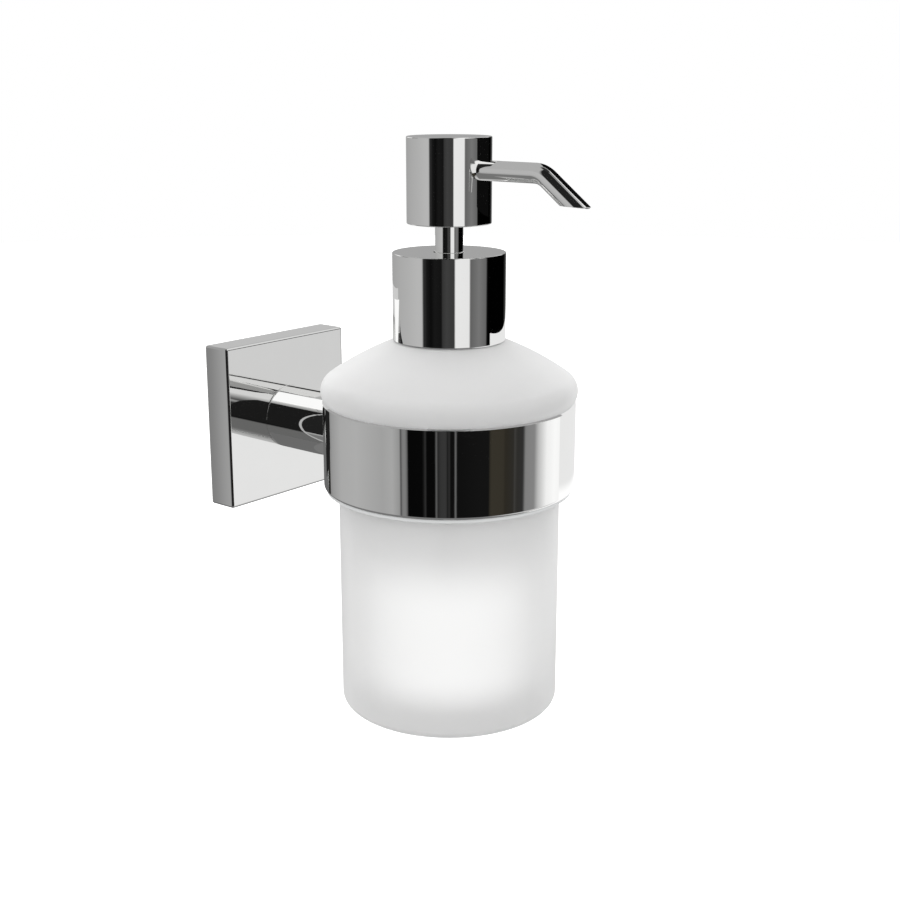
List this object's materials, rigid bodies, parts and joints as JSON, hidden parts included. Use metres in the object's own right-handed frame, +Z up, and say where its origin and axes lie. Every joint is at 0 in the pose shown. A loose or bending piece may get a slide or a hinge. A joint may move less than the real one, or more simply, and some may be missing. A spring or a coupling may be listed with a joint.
{
  "type": "wall mounted soap dispenser",
  "caption": "Square wall plate with a round arm and ring that holds a frosted glass bottle, with a chrome collar, press-down pump head and bent spout.",
  "frame": {"origin": "centre of the wall plate's back face, on the wall", "axes": "+Z up, +Y into the wall, so the arm, bottle and spout stand out along -Y, +X to the right seen from the room"},
  "size_m": [0.0746, 0.1243, 0.1675],
  "materials": {
    "chrome": "mirror-polished chrome plate",
    "zinc": "as-cast zinc, matt",
    "steel": "plain stainless steel",
    "plug_alloy": "turned aluminium",
    "frosted_glass": "satin-etched clear glass",
    "liner_plastic": "translucent white plastic",
    "gasket_rubber": "soft black rubber",
    "pump_plastic": "natural white moulded plastic",
    "tube_plastic": "clear soft tube",
    "seal_plastic": "soft waxy plastic"
  },
  "bodies": {
    "holder": {"wall_bracket": "zinc", "cover_plate": "chrome", "grub_screw": "steel", "arm": "chrome", "arm_plug": "plug_alloy", "arm_screw": "steel", "ring": "chrome", "ring_liner": "liner_plastic"},
    "bottle": {"bottle": "frosted_glass"},
    "pump": {"neck_gasket": "gasket_rubber", "closure_cap": "pump_plastic", "collar_shell": "chrome", "pump_housing": "pump_plastic", "guide_bush": "pump_plastic", "ball_cage": "pump_plastic", "dip_tube": "tube_plastic", "return_spring": "steel"},
    "inlet_ball": {"inlet_ball": "steel"},
    "plunger": {"piston": "seal_plastic"},
    "head": {"piston_stem": "pump_plastic", "rod_sleeve": "chrome", "head_core": "pump_plastic", "head_shell": "chrome", "spout": "chrome", "spout_liner": "tube_plastic"},
    "outlet_ball": {"outlet_ball": "steel"}
  },
  "joints": [
    {"name": "bottle_lift", "type": "slide", "parent": "holder", "child": "bottle", "axis": [0, 0, 1], "range_m": [0, 0.1]},
    {"name": "pump_lift", "type": "slide", "parent": "bottle", "child": "pump", "axis": [0, 0, 1], "range_m": [0, 0.125]},
    {"name": "head_press", "type": "slide", "parent": "pump", "child": "plunger", "axis": [0, 0, -1], "range_m": [0, 0.0075], "stiffness_N_per_m": 600, "springref_m": -0.008, "deforming": ["return_spring"]},
    {"name": "head_swivel", "type": "hinge", "parent": "plunger", "child": "head", "pos_m": [0, -0.077, 0.07], "axis": [0, 0, 1], "continuous": true},
    {"name": "inlet_ball_lift", "type": "slide", "parent": "pump", "child": "inlet_ball", "axis": [0, 0, 1], "range_m": [0, 0.0011]},
    {"name": "outlet_ball_lift", "type": "slide", "parent": "head", "child": "outlet_ball", "axis": [0, 0, 1], "range_m": [0, 0.0009]}
  ]
}
